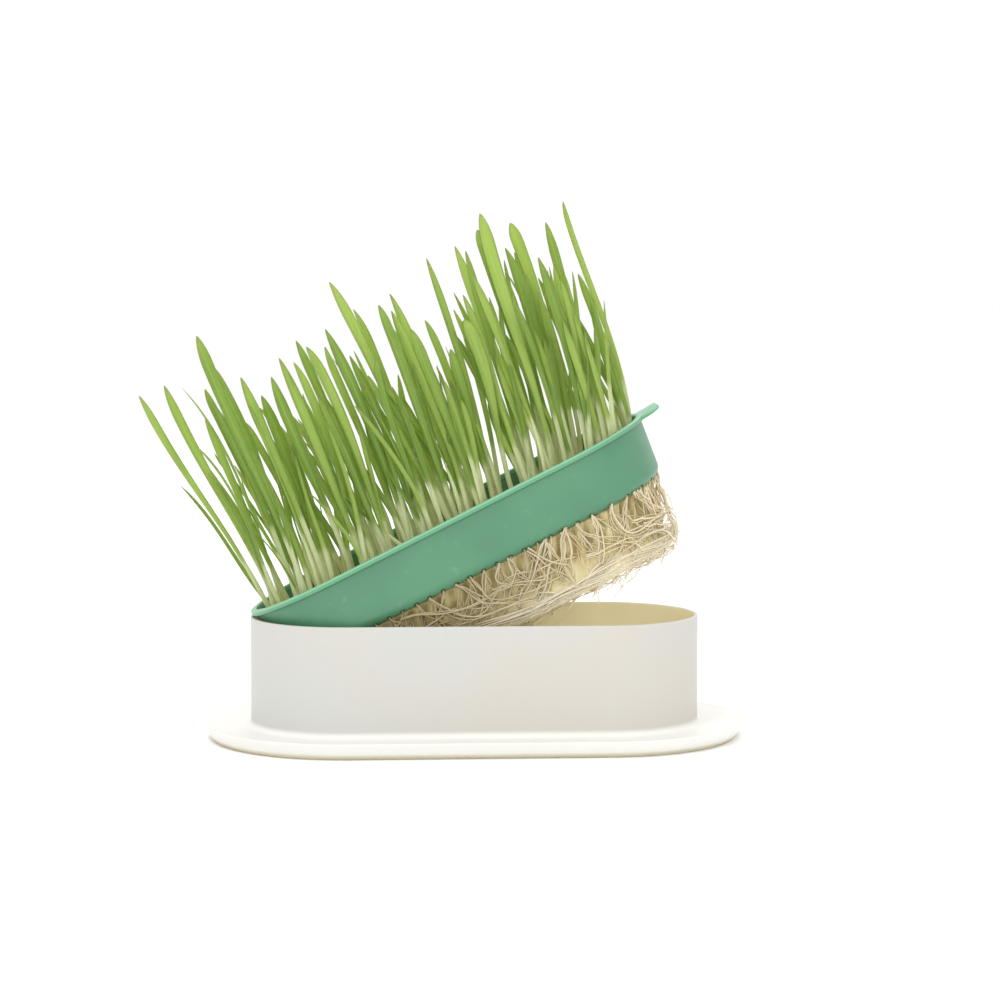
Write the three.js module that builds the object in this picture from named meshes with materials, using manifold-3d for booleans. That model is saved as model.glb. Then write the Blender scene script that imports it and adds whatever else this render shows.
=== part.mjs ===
// A countertop tray of growing wheatgrass, standing in its own water reservoir.
//
// Millimetres, +Z up. +X runs along the long side, towards the raised end of the sprouting tray.
// The origin is the middle of the flat underside of the reservoir base.
//
// The reservoir is a moulded cup of stadium plan with a saucer foot. The sprouting tray is tipped up in
// it: the lip of its low end rests on the reservoir's rim, and the roots under it stand on the floor.
// The grass is grouped in tufts, each one a clump of seedlings whose grains have grown together.

import * as THREE from "three";
import { mergeVertices } from "three/addons/utils/BufferGeometryUtils.js";
import Module from "manifold-3d";

const wasm = await Module();
wasm.setup();

// ---------------------------------------------------------------- driving dimensions

const GAP = 0.3; // left between pieces that touch

// Reservoir base.
const BASE_LENGTH = 207; // over the wall
const BASE_WIDTH = 90;
const BASE_HEIGHT = 56.5;
const BASE_WALL = 1.8;
const FLOOR = 2.4;
const SAUCER_REACH = 21.5; // from the wall out to the saucer's edge
const SAUCER_EDGE_HEIGHT = 8; // the saucer's edge, above the table

// Sprouting tray, in its own frame: x along it from the low tip of the lip, z = 0 at the lip's top.
const TILT = THREE.MathUtils.degToRad(26.7);
const TRAY_LENGTH = 202; // over the lip
const TRAY_WIDTH = 87;
const TRAY_DEPTH = 29;
const TRAY_WALL = 1.4;
const LIP_HEIGHT = 2.4;
const LIP_REACH = 1.6; // the lip stands proud of the wall
const TRAY_DRAFT = 1.9; // the wall leans in by this much on its way down
const TRAY_CORNER = 6; // radius where wall and bottom meet
const TAB_LENGTH = 8.5;
const TAB_WIDTH = 26;

// Drain holes, which the roots grow through.
const HOLE_RADIUS = 1.3;
const EDGE_HOLE_PITCH = 6.8; // along the straight sides, where the row breaks out at the corner
const EDGE_HOLES_PER_END = 12; // steps round each half circle
const EDGE_HOLE_INSET = 6.3; // from the outside of the lip
const HOLE_PITCH = 11;
const HOLE_ROWS = 5;

// Grass and roots, measured in the tray's frame.
const BED_TOP = -10; // top of the sown grain, below the lip
const ROOT_RADIUS = 38.5; // half width of the hanging mat
const ROOT_BOTTOM = -60.5; // underside of the mat
const MAT_INSET = 3.2; // the mat stops this short of the tray at the raised end
const BEARD_LENGTH = 125; // the roots that reach the reservoir floor
const BEARD_WIDTH = 74;
const BEARD_START = -97; // low end of the beard, along the reservoir
const CLUMP_HEIGHT = 3.2;
const CLUMP_DEPTH = 16;

// Tuft columns along the tray, with a parting between the two groups. Each column has its place, its reach
// along the tray, the height of its tallest shoots over the lip, and how far they lean from the tray's
// normal towards the raised end, in degrees.
const TUFT_COLUMNS = [
  { at: 13, reach: 14.8, height: 111, lean: -3 },
  { at: 28.3, reach: 14.8, height: 121, lean: 4.5 },
  { at: 43.6, reach: 14.8, height: 99, lean: 5.5 },
  { at: 58.9, reach: 14.8, height: 99, lean: 6 },
  { at: 74.2, reach: 14.8, height: 100, lean: 6.5 },
  { at: 89.5, reach: 14.8, height: 116, lean: 7 },
  { at: 104.8, reach: 14.8, height: 103, lean: 7 },
  { at: 120.1, reach: 14.8, height: 104, lean: 9 },
  { at: 142.5, reach: 11.4, height: 106, lean: 11 },
  { at: 154.5, reach: 11.4, height: 115, lean: 12 },
  { at: 166.5, reach: 11.4, height: 107, lean: 13 },
  { at: 178.5, reach: 11.4, height: 100, lean: 13.5 },
  { at: 189.4, reach: 10, height: 103, lean: 13.6 },
];
const ROWS = 4; // tufts across the tray, with half as many in the end columns
const ROW_HEIGHTS = [0.97, 1, 0.94, 0.99]; // share of the column's height, from the front row back

// Foliage sizes.
const SHEATH_WIDTH = 2.4;
const BLADE_WIDTH = 4.6;
const BLADE_THICKNESS = 1.3;

const RING_STEPS = 32; // facets round a full stadium outline

// ---------------------------------------------------------------- materials

const plastic = (color, roughness) => new THREE.MeshStandardMaterial({ color, roughness, metalness: 0 });
const creamPlastic = plastic(0xf1eee6, 0.5);
const greenPlastic = plastic(0x67a583, 0.42);
const grainMaterial = plastic(0x9a6f45, 0.8);
const rootMaterial = plastic(0xd6c39a, 0.75);
const grassMaterial = plastic(0x84a845, 0.55);

// ---------------------------------------------------------------- solids

// A three.js geometry as a manifold-3d solid.
function solid(geometry) {
  const bare = geometry.clone();
  bare.deleteAttribute("normal");
  bare.deleteAttribute("uv");
  const merged = mergeVertices(bare, 1e-4);
  return new wasm.Manifold(
    new wasm.Mesh({
      numProp: 3,
      vertProperties: new Float32Array(merged.attributes.position.array),
      triVerts: new Uint32Array(merged.index.array),
    }),
  );
}

// A manifold-3d solid back as a three.js geometry.
function geometryOf(cut) {
  const mesh = cut.getMesh();
  const geometry = new THREE.BufferGeometry();
  geometry.setAttribute("position", new THREE.BufferAttribute(mesh.vertProperties, 3));
  geometry.setIndex(new THREE.BufferAttribute(mesh.triVerts, 1));
  return geometry;
}

// A solid of stadium plan: the profile's [radius, z] points are turned round the Z axis, and the two
// halves are then drawn apart along X. The profile runs from the axis outwards, up and back to the axis.
function stadium(profile, halfStraight, steps = RING_STEPS) {
  const outward = 1 / Math.cos(Math.PI / steps); // facets touch the true outline at their middles
  const points = profile.map(([radius, z]) => new THREE.Vector2(radius * outward, z));
  const geometry = new THREE.LatheGeometry(points, steps, Math.PI / steps).rotateX(Math.PI / 2);
  const position = geometry.attributes.position;
  for (let i = 0; i < position.count; i++) {
    const x = position.getX(i);
    if (Math.abs(x) > 1e-6) position.setX(i, x + Math.sign(x) * halfStraight);
  }
  return geometry;
}

// Points of an arc in a profile, as [radius, z] pairs.
function arc(centre, radius, from, to, steps) {
  const curve = new THREE.EllipseCurve(...centre, radius, radius, from, to, to < from);
  return curve.getPoints(steps).map((p) => [p.x, p.y]);
}

function mesh(name, geometry, material) {
  const made = new THREE.Mesh(geometry, material);
  made.name = name;
  return made;
}

// ---------------------------------------------------------------- reservoir base

const baseRadius = BASE_WIDTH / 2;
const baseHalfStraight = (BASE_LENGTH - BASE_WIDTH) / 2;

function reservoirBase() {
  const edge = baseRadius + SAUCER_REACH;
  const inside = baseRadius - BASE_WALL;
  const profile = [
    [0, 0],
    // Under the saucer the moulding is cored out between the cup's foot and an outer foot ring.
    [baseRadius + 0.8, 0],
    [baseRadius + 1.4, 3.4],
    [edge - 8.6, 3.4],
    [edge - 8, 0],
    [edge - 4.6, 0],
    // The saucer's edge, and its top, which dips a little on the way in.
    [edge - 0.6, SAUCER_EDGE_HEIGHT - 2.6],
    [edge, SAUCER_EDGE_HEIGHT - 1.1],
    [edge - 0.8, SAUCER_EDGE_HEIGHT],
    [edge - 5, SAUCER_EDGE_HEIGHT - 1.2],
    [baseRadius + 6, 6],
    [baseRadius + 2.2, 7],
    [baseRadius + 0.5, 9.8],
    [baseRadius, 14],
    // The rim and the inside of the cup.
    [baseRadius, BASE_HEIGHT - 0.5],
    [baseRadius - 0.4, BASE_HEIGHT],
    [inside + 0.4, BASE_HEIGHT],
    [inside, BASE_HEIGHT - 0.5],
    [inside, FLOOR + 4],
    [inside - 1.2, FLOOR + 1.2],
    [inside - 4, FLOOR],
    [0, FLOOR],
  ];
  return mesh("reservoir_base", stadium(profile, baseHalfStraight), creamPlastic);
}

// ---------------------------------------------------------------- sprouting tray

const trayRadius = TRAY_WIDTH / 2;
const trayHalfStraight = (TRAY_LENGTH - TRAY_WIDTH) / 2;
const trayMiddle = TRAY_LENGTH / 2;

// The frame that the tray, its grass and its roots share. The low outer corner of the lip comes down
// on the reservoir's rim, straight above the end of the wall.
const trayFrame = new THREE.Group();
trayFrame.rotation.y = -TILT;
trayFrame.position.set(-BASE_LENGTH / 2 - 0.1, 0, BASE_HEIGHT + GAP + LIP_HEIGHT * Math.cos(TILT));
trayFrame.updateMatrix();

function trayShell() {
  const outer = trayRadius - LIP_REACH;
  const inner = outer - TRAY_WALL;
  const cornerX = outer - TRAY_DRAFT - TRAY_CORNER;
  const cornerZ = TRAY_CORNER - TRAY_DEPTH;
  const profile = [
    [0, -TRAY_DEPTH],
    ...arc([cornerX, cornerZ], TRAY_CORNER, -Math.PI / 2, 0, 4),
    [outer, -LIP_HEIGHT],
    [trayRadius - 0.5, -LIP_HEIGHT],
    [trayRadius, 0.5 - LIP_HEIGHT],
    [trayRadius, -0.5],
    [trayRadius - 0.5, 0],
    [inner + 0.3, 0],
    [inner, -LIP_HEIGHT],
    ...arc([cornerX, cornerZ], TRAY_CORNER - TRAY_WALL, 0, -Math.PI / 2, 3),
    [0, TRAY_WALL - TRAY_DEPTH],
  ];
  return stadium(profile, trayHalfStraight).translate(trayMiddle, 0, 0);
}

// The finger tab at the raised end, a rounded tongue that carries on from the lip and turns up a little.
function pullTab() {
  const half = TAB_WIDTH / 2;
  const root = TRAY_LENGTH - 3.5;
  const tip = TRAY_LENGTH + TAB_LENGTH;
  const outline = new THREE.Shape();
  outline.moveTo(root, -half);
  outline.lineTo(tip - 6, 3 - half);
  outline.quadraticCurveTo(tip, 4 - half, tip, 8 - half);
  outline.lineTo(tip, half - 8);
  outline.quadraticCurveTo(tip, half - 4, tip - 6, half - 3);
  outline.lineTo(root, half);
  const tab = new THREE.ExtrudeGeometry(outline, { depth: 1.8, bevelEnabled: false, curveSegments: 3 });
  return tab.rotateY(-0.03).translate(0, 0, -2.1 - 0.03 * TRAY_LENGTH);
}

// Centres of the drain holes: one row round the edge, and straight rows inside it.
function holePlaces() {
  const places = [];
  const edgeRadius = trayRadius - EDGE_HOLE_INSET;
  const perSide = Math.round((2 * trayHalfStraight) / EDGE_HOLE_PITCH);
  for (let i = 1; i < perSide; i++) {
    const x = trayHalfStraight * ((2 * i) / perSide - 1);
    places.push([x, edgeRadius], [x, -edgeRadius]);
  }
  for (let i = 0; i <= EDGE_HOLES_PER_END; i++) {
    const turn = (Math.PI * i) / EDGE_HOLES_PER_END;
    const x = trayHalfStraight + edgeRadius * Math.sin(turn);
    const y = edgeRadius * Math.cos(turn);
    places.push([x, y], [-x, -y]);
  }
  for (let row = 0; row < HOLE_ROWS; row++) {
    const y = (row - (HOLE_ROWS - 1) / 2) * HOLE_PITCH;
    const free = edgeRadius - HOLE_PITCH * 0.6;
    const reach = trayHalfStraight + Math.sqrt(free * free - y * y);
    const count = Math.floor((2 * reach) / HOLE_PITCH);
    for (let i = 0; i <= count; i++) places.push([(i - count / 2) * HOLE_PITCH, y]);
  }
  return places.map(([x, y]) => [trayMiddle + x, y]);
}

function sproutingTray() {
  let tray = solid(trayShell()).add(solid(pullTab()));
  const drill = new THREE.CylinderGeometry(HOLE_RADIUS, HOLE_RADIUS, 12, 6).rotateX(Math.PI / 2);
  for (const [x, y] of holePlaces()) {
    tray = tray.subtract(solid(drill.clone().translate(x, y, -TRAY_DEPTH)));
  }
  return mesh("sprouting_tray", geometryOf(tray), greenPlastic);
}

// ---------------------------------------------------------------- grain and roots

// Radius of the space inside the tray's wall, at a depth below the lip.
function roomAt(z) {
  const fall = TRAY_DEPTH - TRAY_CORNER - LIP_HEIGHT;
  return trayRadius - LIP_REACH - TRAY_WALL - (TRAY_DRAFT * (-z - LIP_HEIGHT)) / fall;
}

// The sown grain, matted together by its own roots, fills the bottom of the tray.
function seedBed() {
  const bottom = TRAY_WALL - TRAY_DEPTH + GAP;
  const cornerZ = TRAY_CORNER - TRAY_DEPTH;
  const cornerRadius = TRAY_CORNER - TRAY_WALL - GAP;
  const cornerX = roomAt(cornerZ) - GAP - cornerRadius;
  const profile = [
    [0, bottom],
    ...arc([cornerX, cornerZ], cornerRadius, -Math.PI / 2, 0, 2),
    [roomAt(BED_TOP) - GAP, BED_TOP],
    [0, BED_TOP],
  ];
  return mesh("seed_bed", stadium(profile, trayHalfStraight).translate(trayMiddle, 0, 0), grainMaterial);
}

// The mat that hangs under the tray, with the beard that stands on the reservoir's floor.
function rootMat() {
  const top = -TRAY_DEPTH - GAP;
  const steps = 24;
  const matProfile = [
    [0, ROOT_BOTTOM],
    [ROOT_RADIUS - 9, ROOT_BOTTOM],
    [ROOT_RADIUS - 3, ROOT_BOTTOM + 3],
    [ROOT_RADIUS, ROOT_BOTTOM + 10],
    [ROOT_RADIUS, top - 9],
    [ROOT_RADIUS - 3.5, top],
    [0, top],
  ];
  const mat = stadium(matProfile, trayHalfStraight - MAT_INSET / 2, steps);
  mat.translate(trayMiddle - MAT_INSET / 2, 0, 0);
  const under = new THREE.BoxGeometry(400, 200, 200).translate(trayMiddle, 0, top - 100);
  for (const geometry of [mat, under]) geometry.applyMatrix4(trayFrame.matrix);

  const radius = BEARD_WIDTH / 2;
  const beardProfile = [
    [0, FLOOR + GAP],
    [radius - 6, FLOOR + GAP],
    [radius - 1, FLOOR + 6],
    [radius, FLOOR + 16],
    [radius - 2, 34],
    [radius - 8, 45],
    [0, 45],
  ];
  const beard = stadium(beardProfile, BEARD_LENGTH / 2 - radius, steps);
  beard.translate(BEARD_START + BEARD_LENGTH / 2, 0, 0);

  // Both stay inside the reservoir's walls.
  const wellRadius = baseRadius - BASE_WALL - 1.4;
  const wellFloor = FLOOR + GAP;
  const wellProfile = [
    [0, wellFloor],
    [wellRadius, wellFloor],
    [wellRadius, 2 * TRAY_LENGTH],
    [0, 2 * TRAY_LENGTH],
  ];
  const well = stadium(wellProfile, baseHalfStraight);
  const roots = solid(mat).add(solid(beard).intersect(solid(under))).intersect(solid(well));
  return mesh("root_mat", geometryOf(roots), rootMaterial);
}

// ---------------------------------------------------------------- grass

// A repeatable scatter between -1 and 1, for the seedling and the property numbered.
function scatter(seedling, property) {
  const wave = Math.sin(seedling * 12.9898 + property * 78.233) * 43758.5453;
  return 2 * (wave - Math.floor(wave)) - 1;
}

// One shoot: a pale sheath that opens into a leaf blade. It leaves its foot at one lean and ends at another.
function shoot(foot, height, lean, bow, side) {
  const middle = new THREE.Vector3(
    foot.x + height * 0.5 * Math.tan(lean + bow),
    foot.y + height * 0.5 * Math.tan(side),
    foot.z + height * 0.5,
  );
  const tip = new THREE.Vector3(foot.x + height * Math.tan(lean), foot.y + height * Math.tan(side), foot.z + height);
  const line = new THREE.QuadraticBezierCurve3(foot, middle, tip);
  const widths = [SHEATH_WIDTH, SHEATH_WIDTH + 0.8, BLADE_WIDTH, 0.5];
  const depths = [SHEATH_WIDTH, SHEATH_WIDTH - 0.4, BLADE_THICKNESS, 0.4];
  const geometry = new THREE.CylinderGeometry(0.5, 0.5, 1, 3, widths.length - 1);
  const position = geometry.attributes.position;
  for (let i = 0; i < position.count; i++) {
    const along = position.getY(i) + 0.5;
    const ring = Math.round(along * (widths.length - 1));
    const at = line.getPoint(along);
    at.x += position.getX(i) * widths[ring] * 1.15;
    at.y -= position.getZ(i) * depths[ring];
    position.setXYZ(i, at.x, at.y, at.z);
  }
  return geometry;
}

// A clump of sprouted grains with four shoots standing in it.
function tuft(name, number, column, y, tallest) {
  const clump = new THREE.CylinderGeometry(0.5, 0.5, CLUMP_HEIGHT, 8, 1).rotateX(Math.PI / 2);
  clump.scale(column.reach, CLUMP_DEPTH, 1);
  clump.translate(column.at, y, BED_TOP + GAP + CLUMP_HEIGHT / 2);
  let made = solid(clump);
  for (let i = 0; i < 4; i++) {
    const seedling = number * 4 + i;
    const along = (i % 2 ? 1 : -1) * column.reach * 0.25 + 0.5 * scatter(seedling, 1);
    const across = (i < 2 ? -1 : 1) * CLUMP_DEPTH * 0.25 + 0.8 * scatter(seedling, 2);
    const foot = new THREE.Vector3(column.at + along, y + across, BED_TOP + GAP + 1);
    const height = (tallest - BED_TOP) * (0.9 + 0.1 * scatter(seedling, 3));
    const lean = THREE.MathUtils.degToRad(column.lean + along * 0.12);
    const bow = THREE.MathUtils.degToRad(3);
    const side = THREE.MathUtils.degToRad((3 * (y + across)) / trayRadius);
    made = made.add(solid(shoot(foot, height, lean, bow, side)));
  }
  return mesh(name, geometryOf(made), grassMaterial);
}

// The tufts of one column, spread over the width that the tray has there.
function rowPlaces(column) {
  const room = roomAt(BED_TOP) - GAP;
  const fromBend = Math.max(0, Math.abs(column.at - trayMiddle) - trayHalfStraight);
  const isEnd = column === TUFT_COLUMNS[0] || column === TUFT_COLUMNS.at(-1);
  const rows = isEnd ? [1, 2] : [...Array(ROWS).keys()];
  const halfWidth = Math.sqrt(room * room - fromBend * fromBend);
  const spread = isEnd ? (CLUMP_DEPTH + 1) * 1.5 : Math.min(29, halfWidth - CLUMP_DEPTH / 2 - 0.6);
  return rows.map((row) => ({ row, y: spread * ((2 * row) / (ROWS - 1) - 1) }));
}

function grassTufts() {
  const tufts = [];
  for (const column of TUFT_COLUMNS) {
    for (const { row, y } of rowPlaces(column)) {
      const name = `grass_tuft_${String(tufts.length + 1).padStart(2, "0")}`;
      tufts.push(tuft(name, tufts.length, column, y, column.height * ROW_HEIGHTS[row]));
    }
  }
  return tufts;
}

// ---------------------------------------------------------------- assembly

const part = new THREE.Group();
part.add(reservoirBase(), rootMat(), trayFrame);
trayFrame.add(sproutingTray(), seedBed(), ...grassTufts());

export default part;
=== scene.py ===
import math

import bpy
import numpy as np
from mathutils import Matrix, Vector, noise


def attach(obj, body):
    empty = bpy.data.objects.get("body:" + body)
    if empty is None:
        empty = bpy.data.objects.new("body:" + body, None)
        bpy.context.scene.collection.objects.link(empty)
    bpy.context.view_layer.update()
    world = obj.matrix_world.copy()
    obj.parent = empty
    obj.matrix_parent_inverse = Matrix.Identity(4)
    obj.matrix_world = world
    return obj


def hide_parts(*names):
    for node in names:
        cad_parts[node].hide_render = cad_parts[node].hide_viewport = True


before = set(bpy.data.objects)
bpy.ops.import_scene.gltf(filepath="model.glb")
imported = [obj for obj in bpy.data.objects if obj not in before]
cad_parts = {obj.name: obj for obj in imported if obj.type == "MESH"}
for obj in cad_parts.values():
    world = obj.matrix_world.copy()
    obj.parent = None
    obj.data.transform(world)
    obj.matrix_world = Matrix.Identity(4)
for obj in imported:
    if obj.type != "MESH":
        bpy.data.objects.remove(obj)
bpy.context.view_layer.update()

# ---------------------------------------------------------------- studio
# A table top of pale card in a white light tent. A large soft lamp stands high at the front left, and a
# weaker one at the right fills the shadows. The camera looks a little down along the tray's long side.

MM = 0.001
TENT_LIGHT = 1.04
TABLE_SIZE = 60.0
AIM = Vector((11.7, 0.5, 109.4)) * MM
CAMERA_DISTANCE = 1.2
CAMERA_YAW = math.radians(-2.69)
CAMERA_ELEVATION = math.radians(7.07)
PIVOT = Vector((0, 0, 60)) * MM  # the camera stands at its distance from this point
LENS = 93.2
SENSOR = 36.0


def shade(red, green, blue):
    """A colour given in screen values, as the linear light that a shader takes."""
    return tuple(((value / 255 + 0.055) / 1.055) ** 2.4 for value in (red, green, blue)) + (1.0,)


class Value:
    """A number that varies over a surface. Arithmetic on it adds Math nodes."""

    def __init__(self, finish, socket):
        self.finish = finish
        self.socket = socket

    def __add__(self, other):
        return self.finish.node("Math", {"operation": "ADD"}, {0: self, 1: other})

    def __sub__(self, other):
        return self.finish.node("Math", {"operation": "SUBTRACT"}, {0: self, 1: other})

    def __rsub__(self, other):
        return self.finish.node("Math", {"operation": "SUBTRACT"}, {0: other, 1: self})

    def __mul__(self, other):
        return self.finish.node("Math", {"operation": "MULTIPLY"}, {0: self, 1: other})

    __radd__ = __add__
    __rmul__ = __mul__


class Finish:
    """A material that is being mixed. Every node in it comes from its node method."""

    def __init__(self, name, roughness=0.5, **settings):
        self.material = bpy.data.materials.new(name)
        self.material.use_nodes = True
        self.tree = self.material.node_tree
        self.shader = self.tree.nodes["Principled BSDF"]
        self.output = self.tree.nodes["Material Output"]
        self.shader.inputs["Roughness"].default_value = roughness
        for socket, value in settings.items():
            self.shader.inputs[socket.replace("_", " ").title()].default_value = value

    def node(self, kind, settings=None, values=None, output=0):
        made = self.tree.nodes.new("ShaderNode" + kind)
        for name, setting in (settings or {}).items():
            setattr(made, name, setting)
        self.join(made, values or {})
        return Value(self, made.outputs[output])

    def join(self, node, values):
        """Links or sets the sockets of a node."""
        for socket, value in values.items():
            if isinstance(value, Value):
                self.tree.links.new(value.socket, node.inputs[socket])
            else:
                node.inputs[socket].default_value = value

    def place(self, turn=(0, 0, 0), stretch=(1, 1, 1)):
        """Object coordinates, turned and then stretched."""
        turned_place = self.node("Mapping", {}, {"Vector": self.node("TexCoord", output=3), "Rotation": turn})
        return self.node("Mapping", {}, {"Vector": turned_place, "Scale": stretch})

    def noise(self, place, scale, detail=2.0):
        return self.node("TexNoise", {}, {"Vector": place, "Scale": scale, "Detail": detail})

    def step(self, value, start, end, low=0.0, high=1.0):
        """low where the value is below start, high where it is above end, and a smooth rise between."""
        spread = {"Value": value, "From Min": start, "From Max": end, "To Min": low, "To Max": high}
        return self.node("MapRange", {"interpolation_type": "SMOOTHSTEP"}, spread)

    def mix(self, share, first, second):
        return self.node("Mix", {"data_type": "RGBA"}, {0: share, 6: first, 7: second}, output=2)

    def layers(self, tone, *layers):
        """A tone with colours laid over it in turn, each by its share."""
        for share, colour in layers:
            tone = self.mix(share, tone, shade(*colour))
        return tone

    def axis(self, place, number):
        """The X, Y or Z of a place, by its number."""
        return self.node("SeparateXYZ", {}, {0: place}, output=number)

    def attribute(self, name):
        return self.node("Attribute", {"attribute_name": name}, output=2)

    def glow(self, colour, strength):
        """A faint light of its own, for the light that thin or pale stuff scatters."""
        self.join(self.shader, {"Emission Color": colour, "Emission Strength": strength})

    def bump(self, height, distance, strength=1.0):
        bumped = self.node("Bump", {}, {"Height": height, "Distance": distance, "Strength": strength})
        self.join(self.shader, {"Normal": bumped})


world = bpy.data.worlds.new("tent")
world.use_nodes = True
world.node_tree.nodes["Background"].inputs["Color"].default_value = (1, 1, 1, 1)
world.node_tree.nodes["Background"].inputs["Strength"].default_value = TENT_LIGHT
bpy.context.scene.world = world
bpy.context.scene.view_settings.view_transform = "Standard"


def lamp(name, place, power, size):
    """A square soft lamp that faces the tray."""
    turn = (PIVOT - Vector(place)).to_track_quat("-Z", "Y").to_euler()
    bpy.ops.object.light_add(type="AREA", location=place, rotation=turn)
    made = bpy.context.object
    made.name = name
    made.data.energy = power
    made.data.size = size


lamp("key_lamp", (-0.6, -0.9, 2.2), 9.5, 0.25)
lamp("fill_lamp", (0.1, -1.8, 0.9), 7.0, 1.2)
lamp("back_lamp", (0.3, 1.4, 1.5), 8.0, 1.0)

backwards = Vector(
    (
        math.sin(CAMERA_YAW) * math.cos(CAMERA_ELEVATION),
        -math.cos(CAMERA_YAW) * math.cos(CAMERA_ELEVATION),
        math.sin(CAMERA_ELEVATION),
    )
)
stand = PIVOT + CAMERA_DISTANCE * backwards
aim = (AIM - stand).to_track_quat("-Z", "Y")
bpy.ops.object.camera_add(location=stand, rotation=aim.to_euler())
camera = bpy.context.object
camera.data.lens = LENS
camera.data.sensor_width = SENSOR
camera.data.clip_end = 100.0
bpy.context.scene.camera = camera

bpy.ops.object.select_all(action="DESELECT")
bpy.ops.mesh.primitive_plane_add(size=TABLE_SIZE)
table = bpy.context.object
table.name = "table"
card = Finish("pale_card", roughness=0.9, base_color=(0.97, 0.97, 0.97, 1))
table.data.materials.append(card.material)

# ---------------------------------------------------------------- reservoir
# The reservoir is one injection moulding of ivory plastic: a cup of stadium plan with a thin upright
# wall, and round its foot a shallow saucer that catches drips. The saucer stands on a foot ring. The
# outside is satin, and the inside, where the roots and the water stand, is painted a paler, warmer cream
# with a faint glow: painted light for the light that comes through the thin wall and bounces inside.

CUP_RADIUS = 45.0
CUP_HALF_STRAIGHT = 58.5
CUP_WALL = 1.8
CUP_HEIGHT = 56.5
CUP_FLOOR = 2.4
RIM_ROUND = 0.5
FOOT_FILLET = 3.0
WELL_FILLET = 4.0
SAUCER_TOP = 6.2
SAUCER_RADIUS = 66.5
SAUCER_EDGE_HEIGHT = 8.0
TURN_STEPS = 96


def arc(centre_radius, centre_height, radius, start, end, steps):
    """Points of a round in a profile, between two angles in degrees."""
    turns = [math.radians(start + (end - start) * step / steps) for step in range(steps + 1)]
    return [(centre_radius + radius * math.cos(a), centre_height + radius * math.sin(a)) for a in turns]


def pick(piece, wanted):
    """Goes into edit mode with just the points selected whose place is wanted."""
    bpy.ops.object.mode_set(mode="EDIT")
    bpy.ops.mesh.select_mode(type="VERT")
    bpy.ops.mesh.select_all(action="DESELECT")
    bpy.ops.object.mode_set(mode="OBJECT")
    for point in piece.data.vertices:
        point.select = wanted(point.co)
    bpy.ops.object.mode_set(mode="EDIT")


def turned(name, profile, half_straight=0.0, steps=TURN_STEPS):
    """A closed form drawn up ring by ring from the middle of its underside. Its halves are then drawn
    apart along X, which gives it a stadium plan. The profile is in millimetres."""
    (radius, height), *rings = profile
    turn = math.pi / steps if half_straight else 0.0
    bpy.ops.object.select_all(action="DESELECT")
    bpy.ops.mesh.primitive_circle_add(vertices=steps, radius=radius * MM, fill_type="NGON")
    piece = bpy.context.object
    piece.name = name
    piece.location.z = height * MM
    piece.rotation_euler.z = turn
    bpy.ops.object.transform_apply()
    bpy.ops.object.mode_set(mode="EDIT")
    bpy.ops.mesh.select_all(action="SELECT")
    for wider, higher in rings:
        bpy.ops.mesh.extrude_region_move(TRANSFORM_OT_translate={"value": (0, 0, (higher - height) * MM)})
        share = wider / radius
        bpy.ops.transform.resize(value=(share, share, 1), center_override=(0, 0, 0))
        radius, height = wider, higher
    bpy.ops.mesh.select_all(action="SELECT")
    bpy.ops.mesh.normals_make_consistent(inside=False)
    bpy.ops.object.mode_set(mode="OBJECT")
    if half_straight:
        pick(piece, lambda at: at.x > 0)
        bpy.ops.transform.translate(value=(half_straight * MM, 0, 0))
        pick(piece, lambda at: at.x < 0)
        bpy.ops.transform.translate(value=(-half_straight * MM, 0, 0))
        bpy.ops.object.mode_set(mode="OBJECT")
    return piece


def smooth(piece, angle=35):
    bpy.ops.object.select_all(action="DESELECT")
    bpy.context.view_layer.objects.active = piece
    piece.select_set(True)
    bpy.ops.object.shade_smooth_by_angle(angle=math.radians(angle))


def settle(piece, finish, slot, *nodes):
    """Gives a piece its finish. It rides on the one body, and stands for the nodes named."""
    piece.data.materials.append(finish.material)
    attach(piece, "root")
    if nodes:
        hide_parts(*nodes)


cup_inside = CUP_RADIUS - CUP_WALL
well_round = cup_inside - WELL_FILLET
saucer_profile = [
    (CUP_RADIUS + 0.8, 0),
    (CUP_RADIUS + 1.4, 3.4),
    (SAUCER_RADIUS - 8.6, 3.4),
    (SAUCER_RADIUS - 8, 0.3),
    (SAUCER_RADIUS - 7.7, 0),
    (SAUCER_RADIUS - 4.9, 0),
    (SAUCER_RADIUS - 4.4, 0.25),
    (SAUCER_RADIUS - 2.6, 2.3),
    (SAUCER_RADIUS - 1.2, 4.4),
    (SAUCER_RADIUS - 0.35, 6.2),
    *arc(SAUCER_RADIUS - 0.55, SAUCER_EDGE_HEIGHT - 0.75, 0.55, -15, 110, 6),
    (SAUCER_RADIUS - 1.6, SAUCER_EDGE_HEIGHT - 0.4),
    (SAUCER_RADIUS - 3.4, SAUCER_EDGE_HEIGHT - 0.9),
    (SAUCER_RADIUS - 6.5, SAUCER_EDGE_HEIGHT - 1.45),
    (SAUCER_RADIUS - 10.5, SAUCER_EDGE_HEIGHT - 1.75),
    *arc(CUP_RADIUS + FOOT_FILLET, SAUCER_TOP + FOOT_FILLET, FOOT_FILLET, -90, -180, 7),
]
cup_profile = [
    *arc(CUP_RADIUS - RIM_ROUND, CUP_HEIGHT - RIM_ROUND, RIM_ROUND, 0, 90, 4),
    *arc(cup_inside + RIM_ROUND, CUP_HEIGHT - RIM_ROUND, RIM_ROUND, 90, 180, 4),
    *arc(well_round, CUP_FLOOR + WELL_FILLET, WELL_FILLET, 0, -90, 8),
]
reservoir = turned("reservoir_moulding", saucer_profile + cup_profile, CUP_HALF_STRAIGHT)
smooth(reservoir)
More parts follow.
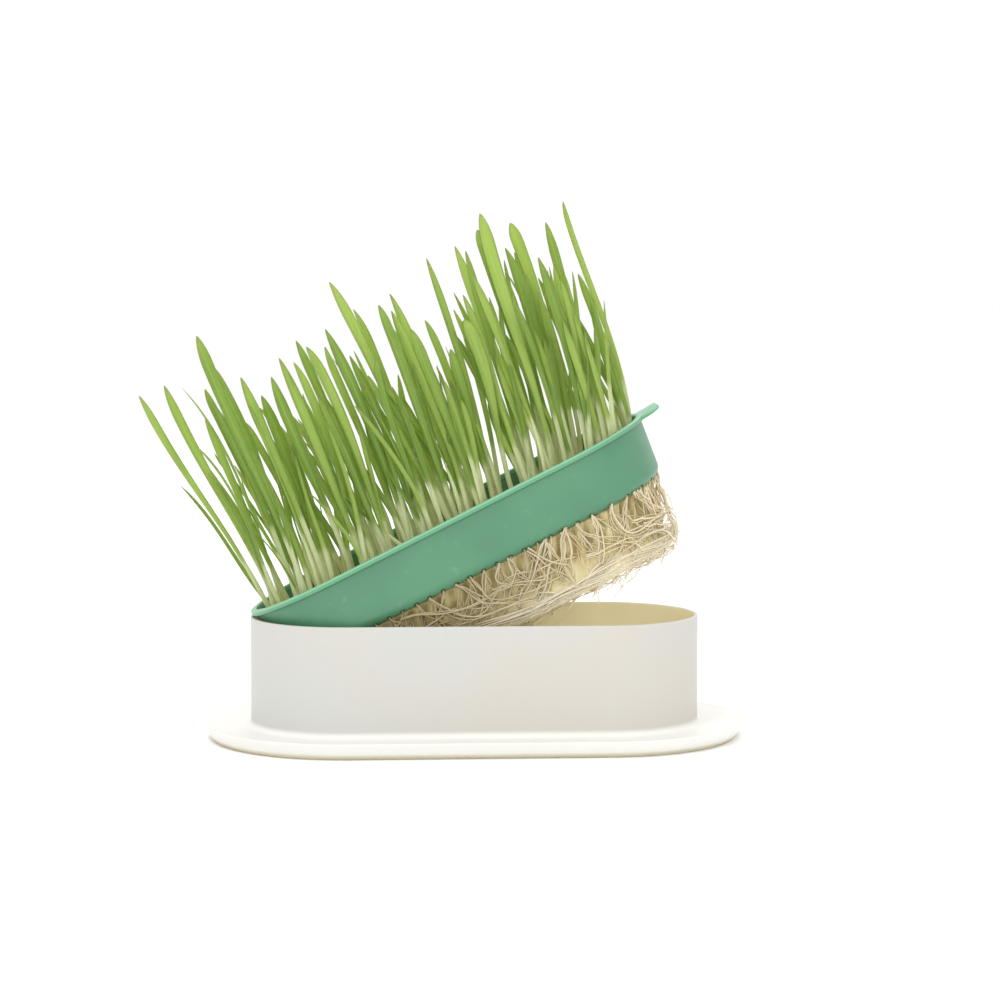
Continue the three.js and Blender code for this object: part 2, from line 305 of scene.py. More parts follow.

# Satin ivory outside: moulded skin, faintly mottled. The saucer is painted lighter, as painted light where it
# faces up to the lamps, and low on the foot ring a warmer, darker tone is painted shade near the floor.
ivory = Finish("satin_ivory_plastic", roughness=0.42)
spot = ivory.place()
height_up = ivory.axis(spot, 2)
mottle = ivory.noise(spot, 14.0, 3.0)
body_tone = ivory.mix(ivory.step(mottle, 0.35, 0.65), shade(197, 197, 193), shade(199, 195, 186))
# Painted light: below the wall's foot the plastic is painted lighter, for the light on the saucer's upturned
# face.
saucer_lit_share = ivory.step(height_up, 7 * MM, 10 * MM, 1.0, 0.0)
# Painted shade: low on the foot ring the plastic is painted darker and warmer, for the contact shadow near
# the floor.
foot_share = ivory.step(height_up, 1.0 * MM, 3.2 * MM, 1.0, 0.0)
scuffs = ivory.step(ivory.noise(ivory.place(stretch=(1, 1, 6)), 90.0, 4.0), 0.62, 0.75)
skin_tone = ivory.layers(
    body_tone,
    (saucer_lit_share, (232, 231, 225)),
    (foot_share * 0.8, (206, 196, 166)),
    (scuffs * 0.06, (196, 186, 165)),
)
ivory.join(ivory.shader, {"Base Color": skin_tone, "Roughness": 0.38 + 0.12 * mottle})
ivory.bump(ivory.noise(spot, 420.0, 3.0) + 3.0 * ivory.noise(spot, 30.0), 0.02 * MM)

# The same plastic inside, painted paler and warmer than the outside and given a faint painted glow, for the
# light that comes through the thin wall and bounces inside; with a tide mark where the water stands.
inner_ivory = Finish("inner_ivory_plastic", roughness=0.5)
spot = inner_ivory.place()
drift = inner_ivory.noise(spot, 22.0, 3.0)
well_tone = inner_ivory.mix(drift, shade(245, 239, 211), shade(242, 235, 202))
tide = inner_ivory.step(inner_ivory.axis(spot, 2) + 6.0 * MM * drift, 20 * MM, 25 * MM, 1.0, 0.0)
well_tone = inner_ivory.layers(well_tone, (tide * 0.2, (214, 192, 136)))
inner_ivory.join(inner_ivory.shader, {"Base Color": well_tone, "Roughness": 0.55 - 0.25 * tide})
# Painted light: a faint glow, so that the shaded inside reads as lit through the thin wall.
inner_ivory.glow(shade(236, 224, 180), 0.09)
inner_ivory.bump(inner_ivory.noise(spot, 380.0), 0.02 * MM)

settle(reservoir, ivory, "cream_plastic", "reservoir_base")
reservoir.data.materials.append(inner_ivory.material)
for face in reservoir.data.polygons:
    along_x = max(abs(face.center.x) / MM - CUP_HALF_STRAIGHT, 0)
    from_spine = math.hypot(along_x, face.center.y / MM)
    if from_spine < cup_inside + 0.1 and face.center.z > CUP_FLOOR * 0.9 * MM:
        face.material_index = 1

# ---------------------------------------------------------------- sprouting tray
# The sprouting tray is a thin green moulding of the same plan, with a bead round its rim and a finger
# tab at one end. Its bottom is drilled like a sieve, and the outer row of holes breaks out at the
# corner. It is tipped up in the reservoir, and its low end hooks over the reservoir's rim.

TILT = math.radians(26.7)
LIP_TIP = Vector((-103.6, 0, 58.94)) * MM
TRAY_MIDDLE = 101.0
TRAY_RADIUS = 43.5
TRAY_HALF_STRAIGHT = 57.5
TRAY_DEPTH = 29.0
TRAY_WALL = 1.4
TRAY_DRAFT = 1.9
TRAY_CORNER = 6.0
LIP_HEIGHT = 2.4
LIP_REACH = 1.6
HOLE_RADIUS = 1.3
HOLE_PITCH = 11.0
HOLE_ROWS = 5
EDGE_HOLE_RADIUS = 37.2  # from the tray's spine
EDGE_HOLES_PER_SIDE = 17
EDGE_HOLES_PER_END = 12
TAB_SECTIONS = [(0.0, 13.0, 0.0), (4.0, 12.4, 0.1), (7.5, 11.4, 0.4), (10.0, 9.6, 0.8), (11.4, 7.4, 1.1)]

# The tray's own frame runs along it from the low tip of the lip, across it, and up from the lip's top.
in_tray = Matrix.Translation(LIP_TIP) @ Matrix.Rotation(-TILT, 4, "Y")
tray_middle = in_tray @ Matrix.Translation((TRAY_MIDDLE * MM, 0, 0))


def copies(name, template, coordinates, **values):
    """One piece out of many copies of a template. Each copy's points lie where coordinates, in
    millimetres, put them, and carry the values given."""
    count, points = coordinates.shape[:2]
    faces = [tuple(face.vertices) for face in template.data.polygons]
    mesh = bpy.data.meshes.new(name)
    mesh.from_pydata(
        (coordinates.reshape(-1, 3) * MM).tolist(),
        [],
        [tuple(corner + copy * points for corner in face) for copy in range(count) for face in faces],
    )
    for key, value in values.items():
        field = mesh.attributes.new(key, "FLOAT", "POINT")
        field.data.foreach_set("value", np.broadcast_to(value, (count, points)).astype(np.float32).ravel())
    piece = bpy.data.objects.new(name, mesh)
    bpy.context.collection.objects.link(piece)
    return piece


def points_of(template):
    """A template's points, in its own units."""
    return np.array([point.co for point in template.data.vertices])


def put_in(piece, place):
    """Moves a piece out of a frame of its own into the common one."""
    bpy.ops.object.select_all(action="DESELECT")
    bpy.context.view_layer.objects.active = piece
    piece.select_set(True)
    piece.matrix_world = place
    bpy.ops.object.transform_apply()


def apply_boolean(piece, other, operation):
    """Cuts or joins a piece with another, which is used up."""
    bpy.context.view_layer.objects.active = piece
    boolean = piece.modifiers.new("boolean", "BOOLEAN")
    boolean.operation = operation
    boolean.solver = "EXACT"
    boolean.object = other
    bpy.ops.object.modifier_apply(modifier=boolean.name)
    bpy.data.objects.remove(other)


outer = TRAY_RADIUS - LIP_REACH
inner = outer - TRAY_WALL
corner_radius = outer - TRAY_DRAFT - TRAY_CORNER
corner_height = TRAY_CORNER - TRAY_DEPTH
tray_profile = [
    *arc(corner_radius, corner_height, TRAY_CORNER, -90, 0, 10),
    (outer, -LIP_HEIGHT - 0.5),
    *arc(outer + 0.4, -LIP_HEIGHT - 0.4, 0.4, 180, 90, 2),
    *arc(TRAY_RADIUS - 0.5, 0.5 - LIP_HEIGHT, 0.5, -90, 0, 4),
    *arc(TRAY_RADIUS - 0.8, -0.8, 0.8, 0, 90, 5),
    *arc(inner + 0.4, -0.4, 0.4, 90, 180, 3),
    (inner, -LIP_HEIGHT),
    *arc(corner_radius, corner_height, TRAY_CORNER - TRAY_WALL, 0, -90, 8),
]
tray = turned("tray_moulding", tray_profile, TRAY_HALF_STRAIGHT)


def hole_places():
    """Centres of the drain holes from the tray's middle: a row round the edge, and straight rows inside."""
    places = []
    for step in range(1, EDGE_HOLES_PER_SIDE):
        along = TRAY_HALF_STRAIGHT * (2 * step / EDGE_HOLES_PER_SIDE - 1)
        places += [(along, EDGE_HOLE_RADIUS), (along, -EDGE_HOLE_RADIUS)]
    for step in range(EDGE_HOLES_PER_END + 1):
        turn = math.pi * step / EDGE_HOLES_PER_END
        along = TRAY_HALF_STRAIGHT + EDGE_HOLE_RADIUS * math.sin(turn)
        across = EDGE_HOLE_RADIUS * math.cos(turn)
        places += [(along, across), (-along, -across)]
    for row in range(HOLE_ROWS):
        across = (row - (HOLE_ROWS - 1) / 2) * HOLE_PITCH
        free = EDGE_HOLE_RADIUS - HOLE_PITCH * 0.6
        count = int(2 * (TRAY_HALF_STRAIGHT + math.sqrt(free**2 - across**2)) // HOLE_PITCH)
        places += [((step - count / 2) * HOLE_PITCH, across) for step in range(count + 1)]
    return places


bpy.ops.object.select_all(action="DESELECT")
bpy.ops.mesh.primitive_cylinder_add(vertices=16, radius=HOLE_RADIUS * MM, depth=12 * MM)
drill = bpy.context.object
drilled = [[(x, y, -TRAY_DEPTH)] for x, y in hole_places()]
drills = copies("drills", drill, points_of(drill) / MM + np.array(drilled))
bpy.data.objects.remove(drill)
apply_boolean(tray, drills, "DIFFERENCE")

# The tab: a bar under the lip, drawn out in steps that narrow and rise towards the fingers.
TAB_THICKNESS = 1.9
TAB_START = TRAY_RADIUS + TRAY_HALF_STRAIGHT - 3.2
bpy.ops.object.select_all(action="DESELECT")
bpy.ops.mesh.primitive_plane_add(size=1, rotation=(0, math.pi / 2, 0))
tab = bpy.context.object
tab.scale = (TAB_THICKNESS * MM, 2 * TAB_SECTIONS[0][1] * MM, 1)
tab.location = (TAB_START * MM, 0, -1.2 * MM)
bpy.ops.object.transform_apply()
bpy.ops.object.mode_set(mode="EDIT")
bpy.ops.mesh.select_all(action="SELECT")
for (start, width, rise), (end, narrower, higher) in zip(TAB_SECTIONS, TAB_SECTIONS[1:]):
    step = Vector((end - start, 0, higher - rise)) * MM
    bpy.ops.mesh.extrude_region_move(TRANSFORM_OT_translate={"value": step})
    bpy.ops.transform.resize(value=(1, narrower / width, 1), center_override=(0, 0, 0))
bpy.ops.mesh.select_all(action="SELECT")
bpy.ops.mesh.normals_make_consistent(inside=False)
bpy.ops.object.mode_set(mode="OBJECT")
bevel = tab.modifiers.new("soft_edges", "BEVEL")
bevel.width = 0.6 * MM
bevel.segments = 3
bpy.ops.object.modifier_apply(modifier=bevel.name)
apply_boolean(tray, tab, "UNION")
put_in(tray, tray_middle)
smooth(tray)

# Green plastic with a soft gloss and faint flow lines along the moulding. The lip is painted lighter as
# painted light, its bead carries a painted highlight, and just under the lip lies a painted shadow.
leaf_green = Finish("green_plastic", roughness=0.36)
spot = leaf_green.place()
flow = leaf_green.noise(leaf_green.place(turn=(0, TILT, 0), stretch=(6, 24, 90)), 1.0, 3.0)
cloud = leaf_green.noise(spot, 26.0, 3.0)
tray_tone = leaf_green.mix(leaf_green.step(cloud, 0.3, 0.7), shade(78, 132, 101), shade(86, 141, 108))
lip_level = (Matrix.Rotation(TILT, 3, "Y") @ LIP_TIP).z
height_up = leaf_green.axis(leaf_green.place(turn=(0, TILT, 0)), 2)
# Painted light and shade at the rim: a lighter lip where it catches the light, a painted highlight on the
# bead's top, and a painted shadow under the lip.
lip_light_share = leaf_green.step(height_up, lip_level - 2.6 * MM, lip_level - 1.9 * MM)
bead_highlight_share = leaf_green.step(height_up, lip_level - 1.0 * MM, lip_level - 0.5 * MM)
under_lip_shadow_share = leaf_green.step(height_up, lip_level - 3.3 * MM, lip_level - 2.7 * MM) - lip_light_share
wear = leaf_green.step(leaf_green.noise(spot, 260.0, 5.0), 0.64, 0.72)
tray_tone = leaf_green.layers(
    tray_tone,
    (lip_light_share, (96, 158, 119)),
    (bead_highlight_share * 0.5, (150, 206, 172)),
    (under_lip_shadow_share * 0.5, (58, 106, 78)),
    (wear * 0.07, (190, 216, 198)),
)
leaf_green.join(leaf_green.shader, {"Base Color": tray_tone, "Roughness": 0.3 + 0.16 * flow + 0.06 * wear})
leaf_green.bump(leaf_green.noise(spot, 500.0) + 2.0 * flow, 0.025 * MM)
settle(tray, leaf_green, "green_plastic", "sprouting_tray")

# ---------------------------------------------------------------- grain
# The sown grain lies two or three deep on the tray's bottom. The lower grains have grown into a damp
# brown felt of husks and rootlets, and the top ones still show as separate swollen wheat grains.

BED_TOP = -10.0
BED_GAP = 0.3
GRAIN_LENGTH = 6.4
GRAIN_WIDTH = 3.0
GRAIN_COUNT = 760

bed_radius = inner - BED_GAP - 0.9
bed_profile = [
    *arc(corner_radius, corner_height, TRAY_CORNER - TRAY_WALL - BED_GAP, -90, 0, 3),
    (bed_radius, BED_TOP - 1.5),
    (bed_radius - 1.5, BED_TOP - 0.4),
    (2.0, BED_TOP - 0.2),
]
bed = turned("grain_felt", bed_profile, TRAY_HALF_STRAIGHT)
remesh = bed.modifiers.new("even_faces", "REMESH")
remesh.voxel_size = 1.6 * MM
bpy.ops.object.modifier_apply(modifier=remesh.name)
for point in bed.data.vertices:
    if point.co.z > (BED_TOP - 2) * MM:
        point.co.z += 0.9 * MM * noise.noise(point.co * 160)
put_in(bed, tray_middle)
bpy.ops.object.shade_smooth()

draw = np.random.default_rng(11)
bpy.ops.object.select_all(action="DESELECT")
bpy.ops.mesh.primitive_uv_sphere_add(segments=10, ring_count=7, radius=1, rotation=(0, math.pi / 2, 0))
grain = bpy.context.object
bpy.ops.object.transform_apply()
pick(grain, lambda at: abs(at.y) < 0.1 and at.z > 0.3)
bpy.ops.transform.translate(value=(0, 0, -0.28))
bpy.ops.object.mode_set(mode="OBJECT")
grain_shape = points_of(grain) * np.array([GRAIN_LENGTH, GRAIN_WIDTH, GRAIN_WIDTH * 0.9]) / 2
grain_shape[:, 1] *= 1 - 0.25 * grain_shape[:, 0] / GRAIN_LENGTH

grain_points = []
while len(grain_points) < GRAIN_COUNT:
    along = draw.uniform(-1, 1) * (TRAY_HALF_STRAIGHT + bed_radius)
    across = draw.uniform(-1, 1) * bed_radius
    if math.hypot(max(abs(along) - TRAY_HALF_STRAIGHT, 0), across) > bed_radius - 3.2:
        continue
    turn = Matrix.Rotation(draw.uniform(0, math.tau), 3, "Z") @ Matrix.Rotation(draw.normal(0, 0.28), 3, "Y")
    turn = turn @ Matrix.Rotation(draw.normal(0, 1.2), 3, "X")
    centre = (TRAY_MIDDLE + along, across, BED_TOP + draw.uniform(-0.3, 1.6))
    grain_points.append(grain_shape * draw.uniform(0.85, 1.08) @ np.array(turn.transposed()) + centre)
grains = copies("wheat_grains", grain, np.array(grain_points), tone=draw.random((GRAIN_COUNT, 1)))
bpy.data.objects.remove(grain)
put_in(grains, in_tray)
bpy.ops.object.shade_smooth()

# Husks from straw to chestnut, damp, with darker speckles.
husk = Finish("grain_husk", roughness=0.5)
spot = husk.place()
tone = husk.attribute("tone")
speckle = husk.noise(spot, 700.0, 3.0)
husk_tone = husk.mix(tone, shade(176, 136, 84), shade(222, 190, 136))
husk_tone = husk.layers(husk_tone, (husk.step(speckle, 0.45, 0.7) * 0.4, (138, 98, 58)))
husk.join(husk.shader, {"Base Color": husk_tone, "Roughness": 0.35 + 0.3 * speckle})
husk.bump(speckle, 0.12 * MM)
settle(grains, husk, "grain")

felt = Finish("grain_felt", roughness=0.8)
fibre = felt.noise(felt.place(stretch=(1, 1.6, 1)), 520.0, 4.0)
felt_tone = felt.mix(felt.step(fibre, 0.35, 0.65), shade(150, 118, 74), shade(206, 178, 128))
felt.join(felt.shader, {"Base Color": felt_tone, "Roughness": 0.6 + 0.3 * fibre})
felt.bump(fibre, 0.5 * MM)
settle(bed, felt, "grain", "seed_bed")

# ---------------------------------------------------------------- roots
# The roots come out of the drain holes and hang in the reservoir. They are cream to straw-coloured
# threads over a soft folded mat, with a felted hem along its lower edge. Under the low half of the
# tray they reach the reservoir's floor and spread on it.

ROOT_TOP = -29.3
ROOT_BOTTOM = -60.5
MAT_INSET = 3.2  # the mat stops this short of the tray at the raised end
SAG = 0.25  # how far hanging roots swing back towards plumb, for each millimetre of drop
HEM_HEIGHT = 9.0
BEARD_START = -97.0
BEARD_END = 28.0
BEARD_TOP = 45.0
BEARD_RADIUS = 35.5
ROOT_FLOOR = 2.7
ROOT_STEPS = 16
ROOT_SIDES = 4

core_profile = [
    (28.0, ROOT_BOTTOM + 1.4),
    (35.0, ROOT_BOTTOM + 1.8),
    (38.0, ROOT_BOTTOM + 3.6),
    (38.6, ROOT_BOTTOM + 6),
    (38.2, ROOT_BOTTOM + 9),
    (37.6, ROOT_BOTTOM + 12),
    (37.4, ROOT_BOTTOM + 20),
    (37.0, ROOT_TOP - 4),
    (36.6, ROOT_TOP + 0.9),
    (36.0, ROOT_TOP + 0.9),
    (34.0, ROOT_TOP - 0.2),
]
core = turned("root_core", core_profile, TRAY_HALF_STRAIGHT - MAT_INSET / 2)
put_in(core, tray_middle @ Matrix.Translation((-MAT_INSET / 2 * MM, 0, 0)))
beard_straight = (BEARD_END - BEARD_START) / 2 - BEARD_RADIUS
beard_profile = [
    (BEARD_RADIUS - 6, ROOT_FLOOR + 0.3),
    (BEARD_RADIUS - 3, ROOT_FLOOR + 3),
    (BEARD_RADIUS - 5.5, ROOT_FLOOR + 12),
    (BEARD_RADIUS - 8, BEARD_TOP - 12),
    (BEARD_RADIUS - 12, BEARD_TOP - 2),
]
beard = turned("root_beard", beard_profile, beard_straight)
put_in(beard, Matrix.Translation(((BEARD_START + BEARD_END) / 2 * MM, 0, 0)))
under_tray = in_tray.inverted()
for point in beard.data.vertices:
    inside = under_tray @ point.co
    if inside.z > (ROOT_BOTTOM + 12) * MM:
        inside.z = (ROOT_BOTTOM + 12) * MM
        point.co = in_tray @ inside
core.select_set(True)
beard.select_set(True)
bpy.context.view_layer.objects.active = core
bpy.ops.object.join()
remesh = core.modifiers.new("one_mat", "REMESH")
remesh.voxel_size = 1.1 * MM
bpy.ops.object.modifier_apply(modifier=remesh.name)


def travel_at(along, across):
    """The travel along the outer row of holes that is nearest to a place in the tray's plan."""
    from_middle = along - TRAY_MIDDLE
    straight = 2 * TRAY_HALF_STRAIGHT
    turn = math.pi * EDGE_HOLE_RADIUS
    if abs(from_middle) > TRAY_HALF_STRAIGHT:
        angle = math.atan2(across, abs(from_middle) - TRAY_HALF_STRAIGHT)
        side = straight + EDGE_HOLE_RADIUS * (angle + math.pi / 2)
        return side if from_middle > 0 else 2 * straight + 2 * turn - EDGE_HOLE_RADIUS * (angle + math.pi / 2)
    if across < 0:
        return from_middle + TRAY_HALF_STRAIGHT
    return straight + turn + TRAY_HALF_STRAIGHT - from_middle


# Soft folds fall from each hole, the hem is felted lengthwise, and the raised end is thinner.
hole_spacing = 2 * TRAY_HALF_STRAIGHT / EDGE_HOLES_PER_SIDE
normals = [point.normal.copy() for point in core.data.vertices]
painted_fold_shade = []
for point, normal in zip(core.data.vertices, normals):
    inside = under_tray @ point.co / MM
    drop = max(ROOT_TOP - inside.z, 0)
    travel = travel_at(inside.x + 1.4 * SAG * drop, inside.y)
    high = min(max((inside.z - ROOT_TOP + 20) / 20, 0), 1)
    low = min(max((ROOT_BOTTOM + HEM_HEIGHT - inside.z) / 5, 0), 1)
    fold = high * math.cos(math.tau * travel / hole_spacing)
    falling_fibre = noise.noise(Vector((travel * 0.7, 3 * high, inside.z * 0.05)))
    felted_fibre = noise.noise(Vector((travel * 0.05, inside.y * 0.1, inside.z * 0.55)))
    swell = 1.2 * fold + 1.2 * (1 - low) * falling_fibre + 0.5 * low * felted_fibre
    lump = 0.8 * noise.noise(inside * 0.14)
    # Painted shade: how much darker the mat is painted where its folds lie hollow, most near the tray.
    painted_fold_shade.append((1 - low) * (0.55 - 0.45 * (swell + lump)))
    raised_end = min(max((inside.x - 168) / 20, 0), 1)
    thin = 6.0 * raised_end * min(max((-28 - inside.z) / 5, 0), 1) * (1 - low)
    outward = 1.0 if abs(normal.z) < 0.8 else 0.4
    close_under = min(max((inside.z - ROOT_TOP + 1) / 1.5, 0), 1)
    point.co += normal * (1 - close_under) * (outward * swell + lump - 0.6 - thin) * MM
core.data.attributes.new("painted_fold_shade", "FLOAT", "POINT").data.foreach_set("value", painted_fold_shade)
bpy.ops.object.shade_smooth()


def around(travel, radius):
    """Places in the tray's plan at a travel along the outer row of holes, from the low end of the front
    side round by the raised end, and at a radius from the tray's spine. All in millimetres."""
    straight = 2 * TRAY_HALF_STRAIGHT
    turn = math.pi * EDGE_HOLE_RADIUS
    travel = np.mod(travel, 2 * (straight + turn))
    swing = np.clip((travel - straight) / turn, 0, 1) + np.clip((travel - 2 * straight - turn) / turn, 0, 1)
    angle = math.pi * (swing - 0.5)
    spine = np.clip(travel, 0, straight) - np.clip(travel - straight - turn, 0, straight)
    along = TRAY_MIDDLE - TRAY_HALF_STRAIGHT + spine + radius * np.cos(angle)
    return along, radius * np.sin(angle)


def bend(controls, steps=ROOT_STEPS):
    """Smooth lines through space from their control points, as an array of line, step and place."""
    degree = controls.shape[1] - 1
    t = np.linspace(0, 1, steps)
    blend = np.array([math.comb(degree, k) * t**k * (1 - t) ** (degree - k) for k in range(degree + 1)])
    return np.einsum("ks,lkc->lsc", blend, controls)


def sweep(template, lines, widths, depths, fold=0.0, facing=None):
    """Draws a template tube along each line. At each step it is as wide and as deep as given, it is
    folded up towards its edges, and its width lies as near to facing as it can."""
    shape = points_of(template) / MM
    ring = np.rint(shape[:, 2]).astype(int)
    tangent = np.gradient(lines, axis=1)
    tangent /= np.linalg.norm(tangent, axis=2, keepdims=True)
    if facing is None:
        facing = np.broadcast_to(np.array([0.31, 0.87, 0.38]), lines.shape)
    side = facing - tangent * (facing * tangent).sum(2, keepdims=True)
    side /= np.linalg.norm(side, axis=2, keepdims=True)
    up = np.cross(tangent, side)
    x, y = shape[:, 0], shape[:, 1]
    wide = (widths[:, ring] * x / 2)[..., None]
    fold = np.broadcast_to(fold, widths.shape)[:, ring]
    deep = (depths[:, ring] * y / 2 + fold * np.abs(x) ** 1.4)[..., None]
    return lines[:, ring] + side[:, ring] * wide + up[:, ring] * deep


thread = turned("thread", [(1, step) for step in range(ROOT_STEPS)], steps=ROOT_SIDES)


def trace(places, steps=ROOT_STEPS):
    """A smooth line through places along the tray and over its lip, on the front of the mat."""
    along, height = np.array(places, float).T
    at = np.linspace(0, len(along) - 1, steps)
    along, height = (np.interp(at, range(len(along)), values) for values in (along, height))
    end = TRAY_MIDDLE + TRAY_HALF_STRAIGHT
    over = np.clip((along - end) / (1 - MAT_INSET / EDGE_HOLE_RADIUS), 0, 38.3)
    line = np.stack([np.minimum(along, end) + over, -np.sqrt(38.7**2 - over**2), height], axis=1)
    for _ in range(3):
        line[1:-1] = (line[:-2] + 2 * line[1:-1] + line[2:]) / 4
    return line


def gathered(lines):
    """Lines in the tray's frame, drawn in at the raised end, where the mat stops short of the tray."""
    past_end = np.maximum(lines[..., 0] - TRAY_MIDDLE - TRAY_HALF_STRAIGHT, 0)
    share = np.clip((ROOT_TOP + 2 - lines[..., 2]) / 6, 0, 1)
    drawn_in = lines.copy()
    drawn_in[..., 0] -= share * past_end * MAT_INSET / EDGE_HOLE_RADIUS
    return drawn_in


def root_piece(name, lines, thickness, draw, tones=(0.0, 1.0), frame_of=in_tray, wander=0.5):
    """One piece of fine roots, from each root's line in the tray's frame."""
    lines = gathered(lines) if frame_of is in_tray else lines
    phase = draw.uniform(0, math.tau, (len(lines), 1, 3))
    beat = draw.uniform(4, 11, (len(lines), 1, 3))
    share = np.linspace(0, 1, ROOT_STEPS)[None, :, None]
    lines = lines + wander * np.sin(phase + beat * share) * np.minimum(share * 5, 1)
    taper = 1 - 0.5 * np.linspace(0, 1, ROOT_STEPS)[None, :] ** 2
    widths = thickness[:, None] * taper
    tone = draw.uniform(*tones, (len(lines), 1))
    piece = copies(name, thread, sweep(thread, lines, widths, widths), tone=tone)
    put_in(piece, frame_of)
    bpy.ops.object.shade_smooth()
    return piece


def in_plan(travel, radius, height):
    """Control points from arrays of travel, radius and height, each with a row for every root."""
    along, across = around(travel, radius)
    return np.stack(np.broadcast_arrays(along, across, height), axis=2)


def columns(*arrays):
    return np.stack(np.broadcast_arrays(*arrays), axis=1)


def sagging(lines):
    """Lines in the tray's frame, swung back towards plumb as they hang down."""
    swung = lines.copy()
    swung[..., 0] -= SAG * np.maximum(ROOT_TOP - lines[..., 2], 0)
    return swung


# Roots that fall from the outer row of holes. Each hole's bundle leans its own way.
draw = np.random.default_rng(21)
straight = 2 * TRAY_HALF_STRAIGHT
turn_length = math.pi * EDGE_HOLE_RADIUS
full_turn = 2 * (straight + turn_length)
hole_travel = [straight * step / EDGE_HOLES_PER_SIDE for step in range(1, EDGE_HOLES_PER_SIDE)]
hole_travel += [straight + turn_length * step / EDGE_HOLES_PER_END for step in range(EDGE_HOLES_PER_END + 1)]
hole_travel += [travel + straight + turn_length for travel in hole_travel]
per_hole = 4
start = np.repeat(hole_travel, per_hole)
count = len(start)
lean = np.repeat(draw.normal(0, 8, len(hole_travel)), per_hole) + draw.normal(0, 4.5, count)
low = draw.uniform(-58, -41, count)
drift = lean * draw.uniform(0.9, 2.6, count)
bulge = draw.uniform(36.8, 39.0, (2, count))
radius = columns(draw.uniform(36.4, 37.6, count), 38.0, *bulge, draw.uniform(36.6, 38.8, count))
falls = in_plan(
    columns(start, start + 0.05 * lean, start + 0.5 * lean, start + lean, start + drift),
    radius,
    columns(-27.5, -33, -40 + draw.normal(0, 2, count), low + 6, low),
)
falling = root_piece(
    "roots_falling", sagging(bend(falls)), draw.uniform(0.4, 0.95, count), draw, wander=0.9
)

# Fine roots that hang like a curtain over the mat's sides.
draw = np.random.default_rng(22)
count = 330
at_raised_end = draw.random(count) < 0.3
start = np.where(at_raised_end, straight + turn_length * draw.random(count), full_turn * draw.random(count))
slant = draw.normal(0, 5, count)
top = draw.uniform(-46, -30, count)
low = np.maximum(top - draw.uniform(8, 24, count), -56)
falls = in_plan(
    columns(start, start + 0.2 * slant, start + 0.6 * slant, start + 0.9 * slant, start + 1.3 * slant),
    columns(36.4, *draw.uniform(36.8, 37.9, (3, count)), 36.8),
    columns(top, top + 1, (top + low) / 2 + draw.uniform(-3, 3, count), low, low + 2),
)
curtain = root_piece(
    "roots_curtain", sagging(bend(falls)), draw.uniform(0.3, 0.6, count), draw, tones=(0.1, 0.9)
)

# Stout roots that sweep lengthwise over the mat in long curves.
draw = np.random.default_rng(24)
count = 52
start = draw.uniform(0, full_turn, count)
run = draw.uniform(18, 58, count) * draw.choice([-1, 1], count)
level = draw.uniform(-54, -38, count) + draw.normal(0, 5, (5, count))
travel = columns(*[start + run * share + draw.normal(0, 3, count) for share in (0, 0.25, 0.5, 0.75, 1)])
radius = columns(*draw.uniform(37.2, 38.8, (5, count)))
sweeps = bend(in_plan(travel, radius, np.clip(columns(*level), -58.5, -33)))
thickness = draw.uniform(0.6, 1.15, count)
sweeping = root_piece("roots_sweeping", sweeps, thickness, draw, tones=(0.45, 0.96), wander=0.9)

# The hem: roots felted together lengthwise along the mat's lower edge.
draw = np.random.default_rng(23)
count = 230
start = draw.uniform(0, full_turn, count)
run = draw.uniform(22, 62, count) * draw.choice([-1, 1], count)
level = ROOT_BOTTOM + 5.5 + draw.normal(0, 2.2, (5, count))
travel = columns(*[start + run * share for share in (0, 0.25, 0.5, 0.75, 1)])
radius = columns(*(38.1 + draw.normal(0, 0.35, (5, count))))
felted = bend(in_plan(travel, radius, np.clip(columns(*level), ROOT_BOTTOM + 2, ROOT_BOTTOM + 10)))
hem = root_piece("roots_hem", felted, draw.uniform(0.25, 0.6, count), draw, tones=(0.5, 0.95), wander=0.4)

